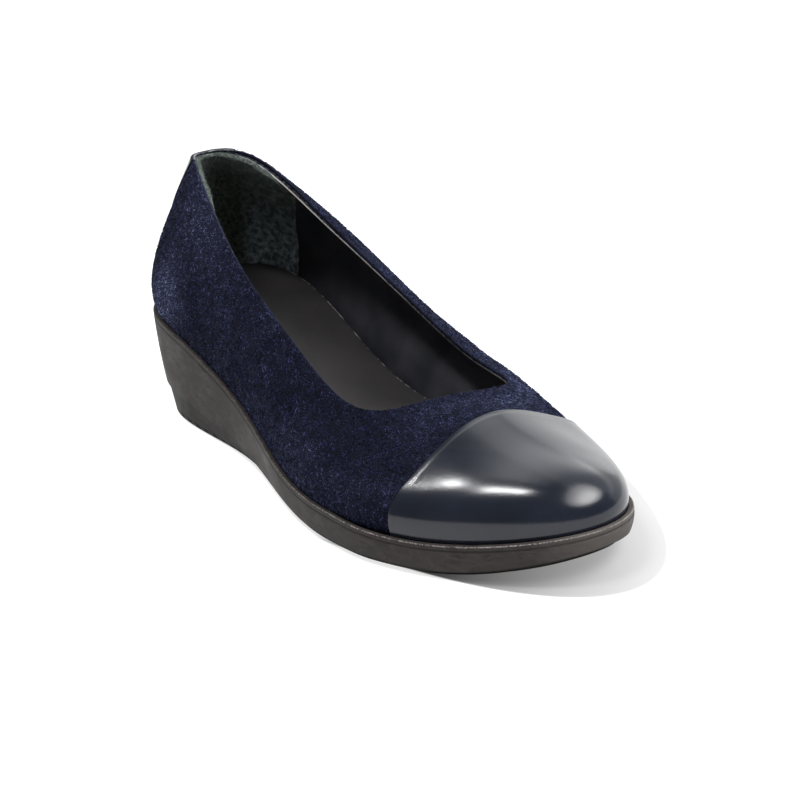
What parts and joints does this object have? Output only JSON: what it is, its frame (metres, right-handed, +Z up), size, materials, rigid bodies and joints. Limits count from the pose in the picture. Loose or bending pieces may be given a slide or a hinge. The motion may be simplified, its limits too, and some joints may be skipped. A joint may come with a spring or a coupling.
{
  "type": "wedge pump",
  "caption": "Women's slip-on wedge pump for the right foot: suede upper with a smooth leather toe cap and heel tab on a moulded rubber wedge sole.",
  "frame": {"origin": "middle of the bounding box, on the floor", "axes": "+X towards the toe, +Y towards the wearer's left (inner side of this right shoe), +Z up"},
  "size_m": [0.2506, 0.0945, 0.1026],
  "materials": {
    "rubber": "satin moulded",
    "suede": "napped",
    "cap_leather": "smooth, glossy",
    "sock_leather": "smooth, matt"
  },
  "bodies": {
    "root": {"sole_unit": "rubber", "upper": "suede", "toe_cap": "cap_leather", "heel_tab": "cap_leather", "insole": "sock_leather"}
  },
  "joints": []
}
